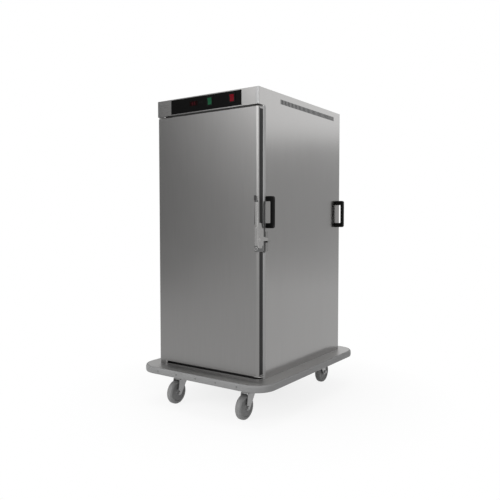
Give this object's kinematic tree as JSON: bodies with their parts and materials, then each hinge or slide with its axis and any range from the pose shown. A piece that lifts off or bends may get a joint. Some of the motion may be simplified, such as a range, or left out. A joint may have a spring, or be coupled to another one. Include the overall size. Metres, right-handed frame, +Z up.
{
  "type": "heated holding cabinet",
  "caption": "Tall insulated steel cabinet on swivel casters with a hinged door, lever latch, control head and tray runners; keeps trays of food hot.",
  "frame": {"origin": "on the floor, under the middle of the bumper tray", "axes": "+Z up, -Y towards the door side, +X to the right of someone who faces the door"},
  "size_m": [0.816, 1.044, 1.621],
  "materials": {
    "satin_steel": "satin brushed stainless",
    "polished_steel": "polished",
    "zinc_steel": "zinc plated",
    "black_plastic": "fine moulded grain",
    "panel_black": "smooth",
    "bumper_grey": "moulded",
    "wheel_grey": "matte",
    "seal_black": "matte",
    "insulation": "mineral wool",
    "switch_green": "lit lens",
    "switch_red": "lit lens",
    "display_dark": "dark lens",
    "motor_metal": "plain",
    "aluminium": "plain",
    "board_green": "board"
  },
  "bodies": {
    "cabinet": {"base_tray": "satin_steel", "left_side_panel": "satin_steel", "right_side_panel": "satin_steel", "rear_panel": "satin_steel", "top_cover": "satin_steel", "head_floor": "satin_steel", "front_frame": "satin_steel", "inner_chamber": "satin_steel", "control_fascia": "satin_steel", "ceiling_baffle": "satin_steel", "rack_uprights": "satin_steel", "tray_runners_left": "satin_steel", "tray_runners_right": "satin_steel", "hinge_bracket_top": "polished_steel", "hinge_bracket_bottom": "polished_steel", "hinge_pins": "polished_steel", "latch_keeper": "polished_steel", "heater_element": "polished_steel", "temperature_probe": "polished_steel", "chassis_rails": "zinc_steel", "caster_plates": "zinc_steel", "caster_bolts": "zinc_steel", "bumper_screws": "zinc_steel", "handle_screws": "zinc_steel", "push_handle_front": "black_plastic", "push_handle_rear": "black_plastic", "switch_bezels": "black_plastic", "cable_gland": "black_plastic", "control_panel": "panel_black", "bumper_strip": "bumper_grey", "insulation_panels": "insulation", "display_module": "display_dark", "fan_motor": "motor_metal", "control_board": "board_green"},
    "door": {"door_outer_skin": "satin_steel", "door_edge_profiles": "black_plastic", "door_inner_liner": "satin_steel", "door_insulation": "insulation", "door_gasket": "seal_black", "door_hinge_leaf_top": "polished_steel", "door_hinge_leaf_bottom": "polished_steel", "latch_body": "polished_steel"},
    "latch_lever": {"latch_lever": "polished_steel"},
    "lock_cylinder": {"lock_cylinder": "black_plastic"},
    "power_rocker": {"power_rocker": "switch_green"},
    "heat_rocker": {"heat_rocker": "switch_red"},
    "fan": {"fan_wheel": "aluminium"},
    "caster_fl": {"caster_fork_fl": "zinc_steel", "caster_axle_fl": "zinc_steel"},
    "wheel_fl": {"caster_wheel_fl": "wheel_grey"},
    "caster_fr": {"caster_fork_fr": "zinc_steel", "caster_axle_fr": "zinc_steel"},
    "wheel_fr": {"caster_wheel_fr": "wheel_grey"},
    "caster_rl": {"caster_fork_rl": "zinc_steel", "caster_axle_rl": "zinc_steel"},
    "wheel_rl": {"caster_wheel_rl": "wheel_grey"},
    "caster_rr": {"caster_fork_rr": "zinc_steel", "caster_axle_rr": "zinc_steel"},
    "wheel_rr": {"caster_wheel_rr": "wheel_grey"}
  },
  "joints": [
    {"name": "door_hinge", "type": "hinge", "parent": "cabinet", "child": "door", "pos_m": [-0.312, -0.416, 0.88], "axis": [0, 0, -1], "range_deg": [0, 180]},
    {"name": "latch_pull", "type": "hinge", "parent": "door", "child": "latch_lever", "pos_m": [0.315, -0.443, 0.895], "axis": [1, 0, 0], "range_deg": [0, 40]},
    {"name": "lock_turn", "type": "hinge", "parent": "door", "child": "lock_cylinder", "pos_m": [0.3193, -0.45, 0.853], "axis": [0, -1, 0], "range_deg": [0, 90]},
    {"name": "power_rock", "type": "hinge", "parent": "cabinet", "child": "power_rocker", "pos_m": [0.034, -0.4345, 1.584], "axis": [1, 0, 0], "range_deg": [-16, 0]},
    {"name": "heat_rock", "type": "hinge", "parent": "cabinet", "child": "heat_rocker", "pos_m": [0.172, -0.4345, 1.584], "axis": [1, 0, 0], "range_deg": [-16, 0]},
    {"name": "fan_spin", "type": "hinge", "parent": "cabinet", "child": "fan", "pos_m": [0, 0.0005, 1.47], "axis": [0, 0, 1], "continuous": true},
    {"name": "swivel_fl", "type": "hinge", "parent": "cabinet", "child": "caster_fl", "pos_m": [-0.225, -0.375, 0.14], "axis": [0, 0, 1], "continuous": true},
    {"name": "roll_fl", "type": "hinge", "parent": "caster_fl", "child": "wheel_fl", "pos_m": [-0.225, -0.413, 0.0625], "axis": [1, 0, 0], "continuous": true},
    {"name": "swivel_fr", "type": "hinge", "parent": "cabinet", "child": "caster_fr", "pos_m": [0.225, -0.375, 0.14], "axis": [0, 0, 1], "continuous": true},
    {"name": "roll_fr", "type": "hinge", "parent": "caster_fr", "child": "wheel_fr", "pos_m": [0.225, -0.413, 0.0625], "axis": [1, 0, 0], "continuous": true},
    {"name": "swivel_rl", "type": "hinge", "parent": "cabinet", "child": "caster_rl", "pos_m": [-0.225, 0.375, 0.14], "axis": [0, 0, 1], "continuous": true},
    {"name": "roll_rl", "type": "hinge", "parent": "caster_rl", "child": "wheel_rl", "pos_m": [-0.225, 0.413, 0.0625], "axis": [1, 0, 0], "continuous": true},
    {"name": "swivel_rr", "type": "hinge", "parent": "cabinet", "child": "caster_rr", "pos_m": [0.225, 0.375, 0.14], "axis": [0, 0, 1], "continuous": true},
    {"name": "roll_rr", "type": "hinge", "parent": "caster_rr", "child": "wheel_rr", "pos_m": [0.225, 0.413, 0.0625], "axis": [1, 0, 0], "continuous": true}
  ]
}
